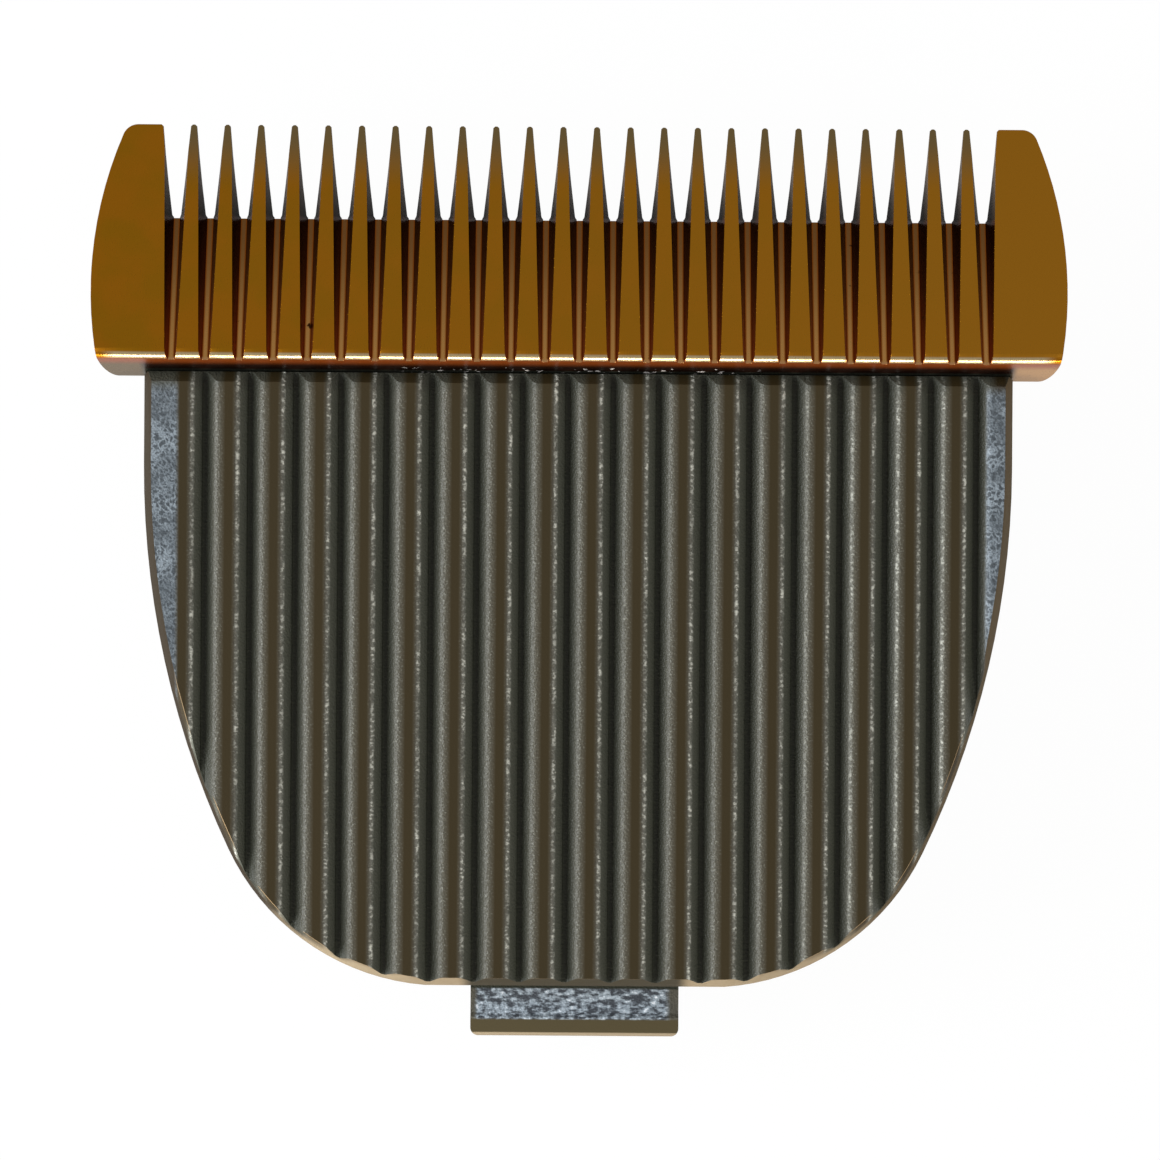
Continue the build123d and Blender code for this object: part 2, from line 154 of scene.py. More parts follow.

# Carrier: places across one rib from its middle, with the middles of its two painted highlight lines
RIGHT_HIGHLIGHT_X = 0.52 * MM
LEFT_HIGHLIGHT_X = -0.5 * MM
LEFT_SHOULDER = band(-0.85 * MM, -0.22 * MM)
RUBBED_LEFT = band(-0.42 * MM, -0.08 * MM)
RUBBED_RIGHT = band(0.52 * MM, 0.22 * MM)
RIGHT_HIGHLIGHT = band(0.14 * MM, 0.01 * MM)
LEFT_HIGHLIGHT = band(0.13 * MM, 0.01 * MM)
RIGHT_FLANK = band(0.48 * MM, 0.58 * MM)
RIGHT_FOOT = band(0.6 * MM, 1.05 * MM)

# Carrier: places on the head, and how far a face is turned
LEFT_HIGHLIGHT_ACROSS = {**band(6 * MM, 17 * MM), "To Max": 0.55}
COMB_SHELTER = band(comb_low.y - 0.95 * MM, comb_low.y - 0.15 * MM)
BEHIND_PLATE = band(carrier_rear_y + 0.02 * MM, carrier_rear_y - 0.02 * MM)
HOOK_ROOT = band(carrier_rear_y - 0.3 * MM, carrier_rear_y - 0.4 * MM)
HOOK_LIP = band(lip_front_y - 0.24 * MM, lip_front_y - 0.34 * MM)
LEFT_MARGIN = band(valley_low_x - 1.05 * MM, valley_low_x - 1.3 * MM)
RIGHT_MARGIN = band(valley_high_x + 0.28 * MM, valley_high_x + 0.45 * MM)
BEVEL_FACING = band(0.56, 0.46)
RIGHT_FACING = band(-0.5, 0.5)
REAR_FACING = band(-0.62, -0.9)
REAR_TIPPED = band(-0.12, -0.3)
NEAR_TOP = band(crest_z - 0.12 * MM, crest_z - 0.06 * MM)
HOOK_LEFT_END = band(-4.85 * MM, -4.6 * MM)
HOOK_RIGHT_END = band(4.65 * MM, 4.3 * MM)
FRONT_TIPPED = band(0.3, 0.6)
OVER_HOOK = band(5.6 * MM, 4.8 * MM)
SKIRT_TOP = band(crest_z - 1.15 * MM, crest_z - 1.45 * MM)
LOW_SIDE = band(crest_z - 0.5 * MM, crest_z - 0.75 * MM)
UP_FACING = band(0.05, 0.3)

# Carrier: shares of the noise that show as grains and pits, and as the beads and streaks of painted
# highlights
NOISE_MIDDLE = 0.5
GRAIN_GLITTER = band(0.55, 0.72)
PIT_RIMS = {**band(0.13, 0.0), "To Max": 0.42}
HIGHLIGHT_BEADS = {**band(0.48, 0.64), "To Min": 0.16}
HIGHLIGHT_STRETCHES = {**band(0.35, 0.65), "To Min": 0.35}
HOOK_STREAKS = band(0.38, 0.66)
HOOK_SPARKLE = band(0.6, 0.74)

# Gloss and relief of the finishes
LAND_ROUGHNESS = {"To Min": 0.24, "To Max": 0.34}
TOOTH_DULLNESS = 0.3
METAL_SHARE = {"To Min": 1.0, "To Max": 0.3}
COATED_SPECULAR = 0.12
GRINDING_STRENGTH = 0.15
GRINDING_DEPTH = 0.004 * MM
PLASTIC_ROUGHNESS = {"To Min": 0.45, "To Max": 0.9}
PLASTIC_SPECULAR = 0.22
GRAIN_STRENGTH = {"To Min": 0.9, "To Max": 0.1}
GRAIN_DEPTH = 0.03 * MM
LAPPED_ROUGHNESS = {"To Min": 0.22, "To Max": 0.4}
ACETAL_ROUGHNESS = 0.38
BLOOM_STRENGTH = 0.2
BLOOM_DEPTH = 0.01 * MM
WIRE_ROUGHNESS = 0.3
ZINC_ROUGHNESS = {"To Min": 0.28, "To Max": 0.45}

# How a solid's mesh is merged, and its edges are eased
MERGE_DISTANCE = 0.0005 * MM
FLAT_ANGLE = radians(0.5)
SHARP_ANGLE = radians(28)
EASING_SEGMENTS = 2

# The room, the table and the camera
WHITE = (1, 1, 1, 1)
SKY_RISE = band(0.3, 0.85)
TABLE_HALF = 2.0
SENSOR_WIDTH = 36.0
NEAREST, FARTHEST = 1 * MM, 10.0


def linear(hex_colour):
    """An sRGB hex colour as linear red, green, blue and alpha."""
    shares = [int(hex_colour[i : i + 2], 16) / 255 for i in (1, 3, 5)]
    return [s / 12.92 if s <= 0.04045 else ((s + 0.055) / 1.055) ** 2.4 for s in shares] + [1.0]


def add_node(tree, kind, settings=None, inputs=None):
    """Adds a node, sets its properties, and fills or links its inputs."""
    node = tree.nodes.new(kind)
    for name, value in (settings or {}).items():
        setattr(node, name, value)
    for socket, value in (inputs or {}).items():
        if isinstance(value, bpy.types.NodeSocket):
            tree.links.new(value, node.inputs[socket])
        else:
            node.inputs[socket].default_value = value
    return node


def new_material(name):
    """An empty node material, and its tree to fill."""
    material = bpy.data.materials.new(name)
    material.use_nodes = True
    tree = material.node_tree
    tree.nodes.clear()
    return material, tree


# The kinds of node used most, and settings for them
MAP = "ShaderNodeMapRange"
MATH = "ShaderNodeMath"
MIX = "ShaderNodeMix"
SMOOTH = {"interpolation_type": "SMOOTHSTEP"}
BLEND = {"data_type": "RGBA"}
TIMES = {"operation": "MULTIPLY"}
MINUS = {"operation": "SUBTRACT"}
LARGER = {"operation": "MAXIMUM"}
UNSIGNED = {"operation": "ABSOLUTE"}


def coated_steel(look):
    """Hardened steel, ground, with a gold nitride coating.

    The ground lands keep a satin gold mirror. The groove walls are dark, their floors bronze and
    brighter to the back with a painted highlight down their middles and at their ends, the tooth
    sides dull with a painted dark reflection, and the tumbled back edge carries a painted highlight.
    The back wall is painted lit at its top and shaded at its foot and in the seam.
    """
    material, tree = new_material("nitride_coated_ground_steel")
    place = add_node(tree, "ShaderNodeTexCoord")
    position = place.outputs["Object"]
    at = add_node(tree, "ShaderNodeSeparateXYZ", None, {0: position}).outputs
    facing = add_node(tree, "ShaderNodeSeparateXYZ", None, {0: place.outputs["Normal"]}).outputs

    # Where the lands, the groove floors and walls, the tooth sides and the back lie
    height = add_node(
        tree, "ShaderNodeVectorMath", {"operation": "DOT_PRODUCT"}, {0: position, 1: list(land_normal)}
    ).outputs["Value"]
    depth = add_node(tree, MATH, MINUS, {0: land_offset, 1: height}).outputs[0]
    below = add_node(tree, MAP, SMOOTH, {"Value": depth, **BELOW_LAND}).outputs[0]
    level = add_node(tree, MAP, SMOOTH, {"Value": facing["Z"], **FLOOR_FACING}).outputs[0]
    floor = add_node(tree, MATH, TIMES, {0: below, 1: level}).outputs[0]
    flat = add_node(tree, MATH, UNSIGNED, {0: facing["Z"]}).outputs[0]
    steep = add_node(tree, MAP, SMOOTH, {"Value": flat, **WALL_FACING}).outputs[0]
    aside = add_node(tree, MATH, UNSIGNED, {0: at["X"]}).outputs[0]
    inner = add_node(tree, MAP, SMOOTH, {"Value": aside, **TOOTH_ROW}).outputs[0]
    in_groove = add_node(
        tree, MATH, {"operation": "WRAP"}, {0: at["X"], 1: tooth_pitch / 2, 2: -tooth_pitch / 2}
    ).outputs[0]
    off_groove = add_node(tree, MATH, UNSIGNED, {0: in_groove}).outputs[0]
    # Painted highlight down the middle of each groove floor, with painted shade on either side
    lit_middle = add_node(tree, MAP, SMOOTH, {"Value": off_groove, **FLOOR_LIT_MIDDLE}).outputs[0]
    groove_end = add_node(tree, MAP, SMOOTH, {"Value": at["Y"], **GROOVE_END}).outputs[0]
    wall = add_node(tree, MATH, TIMES, {0: steep, 1: inner}).outputs[0]
    ahead = add_node(tree, MAP, SMOOTH, {"Value": at["Y"], **GAP_ROOT}).outputs[0]
    tooth_side = add_node(tree, MATH, TIMES, {0: wall, 1: ahead}).outputs[0]
    back_share = add_node(tree, MAP, SMOOTH, {"Value": at["Y"], **GROOVE_RUN}).outputs[0]
    edge = add_node(tree, MAP, SMOOTH, {"Value": facing["Y"], **HIGHLIGHT_FACING}).outputs[0]
    back_wall = add_node(tree, MAP, SMOOTH, {"Value": facing["Y"], **BACK_FACING}).outputs[0]

    # Colours: lands, groove floors and walls, back edge, back wall, and then dirt and pale seam specks
    mottle = add_node(
        tree, "ShaderNodeTexNoise", None, {"Vector": position, "Scale": 1 / look.mottle_size, "Detail": 3.0}
    ).outputs[0]
    patches = add_node(tree, MAP, SMOOTH, {"Value": mottle, **MOTTLE_PATCHES}).outputs[0]
    land = add_node(tree, MIX, BLEND, {0: patches, 6: look.land_olive, 7: look.land_gold}).outputs[2]
    rightward = add_node(tree, MAP, None, {"Value": at["X"], **COMB_ACROSS}).outputs[0]
    land = add_node(tree, MIX, BLEND, {0: rightward, 6: land, 7: look.land_pale}).outputs[2]
    bronze = add_node(tree, MIX, BLEND, {0: back_share, 6: look.floor_grey, 7: look.floor_bronze}).outputs[2]
    bronze = add_node(tree, MIX, BLEND, {0: lit_middle, 6: look.floor_side_shade, 7: bronze}).outputs[2]
    # Painted highlight where each groove floor meets the back edge
    bronze = add_node(tree, MIX, BLEND, {0: groove_end, 6: bronze, 7: look.floor_end_highlight}).outputs[2]
    at_tip = add_node(tree, MAP, SMOOTH, {"Value": at["Y"], **TOOTH_TIPS}).outputs[0]
    between_ears = add_node(tree, MAP, SMOOTH, {"Value": aside, **BETWEEN_EARS}).outputs[0]
    at_tip = add_node(tree, MATH, TIMES, {0: at_tip, 1: between_ears}).outputs[0]
    land = add_node(tree, MIX, BLEND, {0: at_tip, 6: land, 7: look.tooth_tip}).outputs[2]
    groove = add_node(tree, MIX, BLEND, {0: back_share, 6: look.groove_dark, 7: look.groove_wall}).outputs[2]
    # Tooth sides: a painted dark reflection, deepening to painted shade at the gap roots
    out_along = add_node(tree, MAP, SMOOTH, {"Value": at["Y"], **TOOTH_RUN}).outputs[0]
    side = add_node(tree, MIX, BLEND, {0: out_along, 6: look.tooth_root_shade, 7: look.tooth_side}).outputs[2]
    sides = add_node(tree, MIX, BLEND, {0: ahead, 6: groove, 7: side}).outputs[2]
    colour = add_node(tree, MIX, BLEND, {0: floor, 6: land, 7: bronze}).outputs[2]
    colour = add_node(tree, MIX, BLEND, {0: wall, 6: colour, 7: sides}).outputs[2]
    # Painted highlight along the rounded back edge: pale on the lands, brighter at the groove ends, fading
    # out at the ear corners
    slot = add_node(tree, MAP, SMOOTH, {"Value": off_groove, **GROOVE_SLOT}).outputs[0]
    slot = add_node(tree, MATH, TIMES, {0: slot, 1: inner}).outputs[0]
    rim_highlight = add_node(tree, MIX, BLEND, {0: slot, 6: look.back_edge_highlight, 7: look.floor_end_highlight}).outputs[2]
    corner = add_node(tree, MAP, SMOOTH, {"Value": aside, **EAR_CORNER}).outputs[0]
    rim_highlight = add_node(tree, MIX, BLEND, {0: corner, 6: rim_highlight, 7: look.land_gold}).outputs[2]
    colour = add_node(tree, MIX, BLEND, {0: edge, 6: colour, 7: rim_highlight}).outputs[2]
    # The back wall is painted lit toward its top and shaded toward its foot, with painted shade in the seam
    # below the rib tops
    sunk = add_node(tree, MAP, SMOOTH, {"Value": aside, **WALL_OVER_RIBS}).outputs[0]
    lit = add_node(tree, MAP, SMOOTH, {"Value": at["Z"], **WALL_LIT}).outputs[0]
    shaded = add_node(tree, MIX, BLEND, {0: lit, 6: look.wall_foot_shade, 7: look.wall_lit_brown}).outputs[2]
    seam_shaded = add_node(tree, MAP, SMOOTH, {"Value": at["Z"], **SEAM_SHADE_LINE}).outputs[0]
    shaded = add_node(tree, MIX, BLEND, {0: seam_shaded, 6: shaded, 7: look.seam_shade}).outputs[2]
    ear_wall = add_node(tree, MIX, BLEND, {0: rightward, 6: look.wall_left, 7: look.wall_right}).outputs[2]
    ear_wall = add_node(tree, MIX, BLEND, {0: lit, 6: ear_wall, 7: look.wall_lit_brown}).outputs[2]
    wall_colour = add_node(tree, MIX, BLEND, {0: sunk, 6: ear_wall, 7: shaded}).outputs[2]
    colour = add_node(tree, MIX, BLEND, {0: back_wall, 6: colour, 7: wall_colour}).outputs[2]
    crumbs = add_node(
        tree, "ShaderNodeTexNoise", None, {"Vector": position, "Scale": 1 / look.crumb_size, "Detail": 2.0}
    ).outputs[0]
    dirt = add_node(tree, MAP, SMOOTH, {"Value": crumbs, **DIRT_SPECKS}).outputs[0]
    dirt = add_node(tree, MATH, TIMES, {0: dirt, 1: below}).outputs[0]
    colour = add_node(tree, MIX, BLEND, {0: dirt, 6: colour, 7: look.dirt}).outputs[2]
    speck_noise = add_node(
        tree, "ShaderNodeTexNoise", None, {"Vector": position, "Scale": 1 / look.seam_speck_size, "Detail": 1.0}
    ).outputs[0]
    # Pale specks in the seam behind the comb
    seam_specks = add_node(tree, MAP, SMOOTH, {"Value": speck_noise, **SEAM_SPECKS}).outputs[0]
    seam = add_node(tree, MAP, SMOOTH, {"Value": at["Z"], **SEAM_HEIGHT}).outputs[0]
    middle = add_node(tree, MAP, SMOOTH, {"Value": aside, **SPECK_MIDDLE}).outputs[0]
    seam_specks = add_node(tree, MATH, TIMES, {0: seam_specks, 1: seam}).outputs[0]
    seam_specks = add_node(tree, MATH, TIMES, {0: seam_specks, 1: back_wall}).outputs[0]
    seam_specks = add_node(tree, MATH, TIMES, {0: seam_specks, 1: middle}).outputs[0]
    colour = add_node(tree, MIX, BLEND, {0: seam_specks, 6: colour, 7: look.seam_specks}).outputs[2]

    # Gloss: grinding lines on the lands, and duller tooth sides and back
    stretch = (1 / look.grinding_width, 1 / look.grinding_length, 1 / look.grinding_width)
    lines = add_node(tree, "ShaderNodeMapping", None, {"Vector": position, "Scale": stretch}).outputs[0]
    grinding = add_node(
        tree, "ShaderNodeTexNoise", None, {"Vector": lines, "Scale": 1.0, "Detail": 2.0}
    ).outputs[0]
    satin = add_node(tree, MAP, None, {"Value": grinding, **LAND_ROUGHNESS}).outputs[0]
    rough = add_node(
        tree, MATH, {"operation": "MULTIPLY_ADD"}, {0: tooth_side, 1: TOOTH_DULLNESS, 2: satin}
    ).outputs[0]
    dull = add_node(tree, MATH, LARGER, {0: tooth_side, 1: back_wall}).outputs[0]
    metallic = add_node(tree, MAP, None, {"Value": dull, **METAL_SHARE}).outputs[0]
    bump = add_node(
        tree,
        "ShaderNodeBump",
        None,
        {"Strength": GRINDING_STRENGTH, "Distance": GRINDING_DEPTH, "Height": grinding},
    )
    shader = add_node(
        tree,
        "ShaderNodeBsdfPrincipled",
        None,
        {
            "Base Color": colour,
            "Metallic": metallic,
            "Roughness": rough,
            "Specular IOR Level": COATED_SPECULAR,
            "Normal": bump.outputs[0],
        },
    )
    add_node(tree, "ShaderNodeOutputMaterial", None, {"Surface": shader.outputs[0]})
    return material


def carrier_plastic(look):
    """Glass-filled polyamide, moulded in a spark-eroded tool.

    The rib tops and the hook's lip are rubbed smooth and look brown. The margins and the rib
    shoulders keep the tool's pitted grain, which looks grey, with painted glints and gleams, and the
    edges are plain. Light and shade across the ribs, on the bevels and under the comb are painted in.
    """
    material, tree = new_material("spark_textured_polyamide")
    place = add_node(tree, "ShaderNodeTexCoord")
    position = place.outputs["Object"]
    at = add_node(tree, "ShaderNodeSeparateXYZ", None, {0: position}).outputs
    facing = add_node(tree, "ShaderNodeSeparateXYZ", None, {0: place.outputs["Normal"]}).outputs

    # Across one rib: left flank and shoulder, rubbed top, right shoulder with its painted highlight line,
    # right flank
    from_mid = add_node(tree, MATH, MINUS, {0: at["X"], 1: rib_mid_x}).outputs[0]
    across = add_node(
        tree, MATH, {"operation": "WRAP"}, {0: from_mid, 1: rib_pitch / 2, 2: -rib_pitch / 2}
    ).outputs[0]
    shoulder = add_node(tree, MAP, SMOOTH, {"Value": across, **LEFT_SHOULDER}).outputs[0]
    rubbed_left = add_node(tree, MAP, None, {"Value": across, **RUBBED_LEFT}).outputs[0]
    rubbed_right = add_node(tree, MAP, SMOOTH, {"Value": across, **RUBBED_RIGHT}).outputs[0]
    rubbed = add_node(tree, MATH, TIMES, {0: rubbed_left, 1: rubbed_right}).outputs[0]
    # Painted highlight lines along the right shoulders, and along the left shoulders fading in toward the
    # right of the head
    from_edge = add_node(tree, MATH, MINUS, {0: across, 1: RIGHT_HIGHLIGHT_X}).outputs[0]
    off_edge = add_node(tree, MATH, UNSIGNED, {0: from_edge}).outputs[0]
    highlight_line = add_node(tree, MAP, SMOOTH, {"Value": off_edge, **RIGHT_HIGHLIGHT}).outputs[0]
    from_left = add_node(tree, MATH, MINUS, {0: across, 1: LEFT_HIGHLIGHT_X}).outputs[0]
    off_left = add_node(tree, MATH, UNSIGNED, {0: from_left}).outputs[0]
    left_highlight_line = add_node(tree, MAP, SMOOTH, {"Value": off_left, **LEFT_HIGHLIGHT}).outputs[0]
    rightward = add_node(tree, MAP, SMOOTH, {"Value": at["X"], **LEFT_HIGHLIGHT_ACROSS}).outputs[0]
    left_highlight_line = add_node(tree, MATH, TIMES, {0: left_highlight_line, 1: rightward}).outputs[0]
    highlight_line = add_node(tree, MATH, LARGER, {0: highlight_line, 1: left_highlight_line}).outputs[0]
    right_flank = add_node(tree, MAP, SMOOTH, {"Value": across, **RIGHT_FLANK}).outputs[0]
    right_foot = add_node(tree, MAP, None, {"Value": across, **RIGHT_FOOT}).outputs[0]

    # Along the head: sheltered rib ends under the comb, the plain bevel, and the hook
    sheltered = add_node(tree, MAP, SMOOTH, {"Value": at["Y"], **COMB_SHELTER}).outputs[0]
    behind = add_node(tree, MAP, SMOOTH, {"Value": at["Y"], **BEHIND_PLATE}).outputs[0]
    past_root = add_node(tree, MAP, SMOOTH, {"Value": at["Y"], **HOOK_ROOT}).outputs[0]
    lip = add_node(tree, MAP, SMOOTH, {"Value": at["Y"], **HOOK_LIP}).outputs[0]
    left_margin = add_node(tree, MAP, SMOOTH, {"Value": at["X"], **LEFT_MARGIN}).outputs[0]
    right_margin = add_node(tree, MAP, SMOOTH, {"Value": at["X"], **RIGHT_MARGIN}).outputs[0]
    wide = add_node(tree, MATH, LARGER, {0: left_margin, 1: right_margin}).outputs[0]
    wide = add_node(tree, MATH, LARGER, {0: wide, 1: behind}).outputs[0]
    ribbed = add_node(tree, MATH, MINUS, {0: 1.0, 1: wide}).outputs[0]
    steep = add_node(tree, MAP, SMOOTH, {"Value": facing["Z"], **BEVEL_FACING}).outputs[0]
    to_right = add_node(tree, MAP, SMOOTH, {"Value": facing["X"], **RIGHT_FACING}).outputs[0]
    to_rear = add_node(tree, MAP, SMOOTH, {"Value": facing["Y"], **REAR_FACING}).outputs[0]
    tipped_back = add_node(tree, MAP, SMOOTH, {"Value": facing["Y"], **REAR_TIPPED}).outputs[0]
    near_top = add_node(tree, MAP, SMOOTH, {"Value": at["Z"], **NEAR_TOP}).outputs[0]
    rib_end = add_node(tree, MATH, TIMES, {0: tipped_back, 1: near_top}).outputs[0]

    # Grain: fine pits, and larger patches, which also place the painted gleams and glints
    grain = add_node(
        tree, "ShaderNodeTexNoise", None, {"Vector": position, "Scale": 1 / look.grain_size, "Detail": 2.0}
    ).outputs[0]
    stretch = (1 / look.gleam_length, 1 / look.gleam_width, 1 / look.gleam_width)
    drawn = add_node(tree, "ShaderNodeMapping", None, {"Vector": position, "Scale": stretch}).outputs[0]
    gleam = add_node(
        tree, "ShaderNodeTexNoise", None, {"Vector": drawn, "Scale": 1.0, "Detail": 5.0}
    ).outputs[0]
    highlight_noise = add_node(
        tree, "ShaderNodeTexNoise", None, {"Vector": position, "Scale": 1 / look.highlight_stretch_size, "Detail": 2.0}
    ).outputs[0]
    glitter = add_node(tree, MAP, SMOOTH, {"Value": grain, **GRAIN_GLITTER}).outputs[0]
    cells = add_node(
        tree, "ShaderNodeTexNoise", None, {"Vector": position, "Scale": 1 / look.cell_size, "Detail": 2.0}
    ).outputs[0]
    from_rim = add_node(tree, MATH, MINUS, {0: cells, 1: NOISE_MIDDLE}).outputs[0]
    off_rim = add_node(tree, MATH, UNSIGNED, {0: from_rim}).outputs[0]
    rims = add_node(tree, MAP, SMOOTH, {"Value": off_rim, **PIT_RIMS}).outputs[0]
    beads = add_node(tree, MAP, SMOOTH, {"Value": gleam, **HIGHLIGHT_BEADS}).outputs[0]

    # Colours: ribs, flat faces and hook, rib fronts, and then bevel, skirt and lip
    # Painted light and shade across each rib: lit left shoulders with painted glints, darker right flanks,
    # and painted shade on the right feet and in the valleys
    colour = add_node(
        tree, MIX, BLEND, {0: shoulder, 6: look.plastic_valley_shade, 7: look.plastic_shoulder}
    ).outputs[2]
    flank = add_node(
        tree, MIX, BLEND, {0: right_foot, 6: look.plastic_flank, 7: look.plastic_foot_shade}
    ).outputs[2]
    colour = add_node(tree, MIX, BLEND, {0: right_flank, 6: colour, 7: flank}).outputs[2]
    left_side = add_node(tree, MATH, MINUS, {0: shoulder, 1: right_flank}).outputs[0]
    speckle = add_node(tree, MATH, TIMES, {0: glitter, 1: left_side}).outputs[0]
    colour = add_node(tree, MIX, BLEND, {0: speckle, 6: colour, 7: look.plastic_glint}).outputs[2]
    stretches = add_node(tree, MAP, SMOOTH, {"Value": highlight_noise, **HIGHLIGHT_STRETCHES}).outputs[0]
    beaded = add_node(tree, MATH, TIMES, {0: highlight_line, 1: beads}).outputs[0]
    beaded = add_node(tree, MATH, TIMES, {0: beaded, 1: stretches}).outputs[0]
    beaded = add_node(tree, MATH, TIMES, {0: beaded, 1: ribbed}).outputs[0]
    colour = add_node(tree, MIX, BLEND, {0: rubbed, 6: colour, 7: look.plastic_crest}).outputs[2]
    # Painted gleams on the pit rims of the flat faces, and painted gleam streaks and sparkle highlights on
    # the hook
    faint = add_node(tree, MATH, TIMES, {0: rims, 1: stretches}).outputs[0]
    pitted = add_node(tree, MIX, BLEND, {0: faint, 6: look.plastic_margin, 7: look.plastic_gleam}).outputs[2]
    broad = add_node(tree, MAP, SMOOTH, {"Value": gleam, **HOOK_STREAKS}).outputs[0]
    streaked = add_node(tree, MIX, BLEND, {0: broad, 6: look.hook_dark, 7: look.plastic_gleam}).outputs[2]
    sparkle = add_node(tree, MAP, SMOOTH, {"Value": gleam, **HOOK_SPARKLE}).outputs[0]
    streaked = add_node(tree, MIX, BLEND, {0: sparkle, 6: streaked, 7: look.hook_sparkle}).outputs[2]
    past_left = add_node(tree, MAP, SMOOTH, {"Value": at["X"], **HOOK_LEFT_END}).outputs[0]
    past_right = add_node(tree, MAP, SMOOTH, {"Value": at["X"], **HOOK_RIGHT_END}).outputs[0]
    textured = add_node(tree, MATH, TIMES, {0: past_left, 1: past_right}).outputs[0]
    hook = add_node(tree, MIX, BLEND, {0: textured, 6: look.plastic_shoulder, 7: streaked}).outputs[2]
    # Painted shadow line at the hook's root
    hook = add_node(tree, MIX, BLEND, {0: past_root, 6: look.plastic_foot_shade, 7: hook}).outputs[2]
    pitted = add_node(tree, MIX, BLEND, {0: behind, 6: pitted, 7: hook}).outputs[2]
    colour = add_node(tree, MIX, BLEND, {0: wide, 6: colour, 7: pitted}).outputs[2]
    raised = add_node(tree, MATH, MINUS, {0: shoulder, 1: right_foot}).outputs[0]
    raised = add_node(tree, MATH, LARGER, {0: raised, 1: wide}).outputs[0]
    # Painted shade where the comb shades the rib ends: darker valleys, shoulders and front bevels, with the
    # rubbed tops kept brown
    shelter = add_node(
        tree, MIX, BLEND, {0: raised, 6: look.plastic_valley_shade, 7: look.plastic_shelter}
    ).outputs[2]
    tipped_front = add_node(tree, MAP, SMOOTH, {"Value": facing["Y"], **FRONT_TIPPED}).outputs[0]
    shelter = add_node(tree, MIX, BLEND, {0: tipped_front, 6: shelter, 7: look.plastic_front}).outputs[2]
    shelter = add_node(tree, MIX, BLEND, {0: rubbed, 6: shelter, 7: look.plastic_crest}).outputs[2]
    colour = add_node(tree, MIX, BLEND, {0: sheltered, 6: colour, 7: shelter}).outputs[2]
    # Painted highlight beads along the rib shoulders
    colour = add_node(tree, MIX, BLEND, {0: beaded, 6: colour, 7: look.plastic_shoulder_highlight}).outputs[2]
    # The bevels are painted by the way they face: shaded to the left, lit to the right and to the rear, and
    # shaded over the hook
    side_edge = add_node(tree, MIX, BLEND, {0: to_right, 6: look.edge_left_shade, 7: look.edge_right_lit}).outputs[2]
    aside = add_node(tree, MATH, UNSIGNED, {0: at["X"]}).outputs[0]
    over_hook = add_node(tree, MAP, SMOOTH, {"Value": aside, **OVER_HOOK}).outputs[0]
    rear = add_node(tree, MIX, BLEND, {0: over_hook, 6: look.edge_rear_lit, 7: look.edge_hook_shade}).outputs[2]
    edge = add_node(tree, MIX, BLEND, {0: to_rear, 6: side_edge, 7: rear}).outputs[2]
    skirt = add_node(tree, MAP, SMOOTH, {"Value": at["Z"], **SKIRT_TOP}).outputs[0]
    edge = add_node(tree, MIX, BLEND, {0: skirt, 6: edge, 7: look.plastic_skirt}).outputs[2]
    # Painted highlight on the rounded rear ends of the rib tops
    colour = add_node(tree, MIX, BLEND, {0: rib_end, 6: colour, 7: look.rib_end_highlight}).outputs[2]
    low_side = add_node(tree, MAP, SMOOTH, {"Value": at["Z"], **LOW_SIDE}).outputs[0]
    bare = add_node(tree, MATH, LARGER, {0: low_side, 1: to_rear}).outputs[0]
    bare = add_node(tree, MATH, LARGER, {0: bare, 1: wide}).outputs[0]
    bare = add_node(tree, MATH, TIMES, {0: bare, 1: steep}).outputs[0]
    colour = add_node(tree, MIX, BLEND, {0: bare, 6: colour, 7: edge}).outputs[2]
    # The hook lip's rounded rear edge is painted lit, in the rear bevel's colour
    upward = add_node(tree, MAP, SMOOTH, {"Value": facing["Z"], **UP_FACING}).outputs[0]
    lip_end = add_node(tree, MIX, BLEND, {0: upward, 6: look.plastic_skirt, 7: look.edge_rear_lit}).outputs[2]
    lip_colour = add_node(tree, MIX, BLEND, {0: tipped_back, 6: look.plastic_lip, 7: lip_end}).outputs[2]
    colour = add_node(tree, MIX, BLEND, {0: lip, 6: colour, 7: lip_colour}).outputs[2]

    # Relief: the full grain, and almost none where the plastic is rubbed or bevelled
    plain = add_node(tree, MATH, TIMES, {0: rubbed, 1: ribbed}).outputs[0]
    plain = add_node(tree, MATH, LARGER, {0: plain, 1: lip}).outputs[0]
    plain = add_node(tree, MATH, LARGER, {0: plain, 1: steep}).outputs[0]
    pits = add_node(
        tree, "ShaderNodeTexVoronoi", None, {"Vector": position, "Scale": 1 / look.pit_size}
    ).outputs["Distance"]
    relief = add_node(tree, MATH, {"operation": "ADD"}, {0: pits, 1: gleam}).outputs[0]
    strength = add_node(tree, MAP, None, {"Value": plain, **GRAIN_STRENGTH}).outputs[0]
    bump = add_node(
        tree, "ShaderNodeBump", None, {"Strength": strength, "Distance": GRAIN_DEPTH, "Height": relief}
    )
    rough = add_node(tree, MAP, None, {"Value": steep, **PLASTIC_ROUGHNESS}).outputs[0]
    shader = add_node(
        tree,
        "ShaderNodeBsdfPrincipled",
        None,
        {
            "Base Color": colour,
            "Roughness": rough,
            "Specular IOR Level": PLASTIC_SPECULAR,
            "Normal": bump.outputs[0],
        },
    )
    add_node(tree, "ShaderNodeOutputMaterial", None, {"Surface": shader.outputs[0]})
    return material


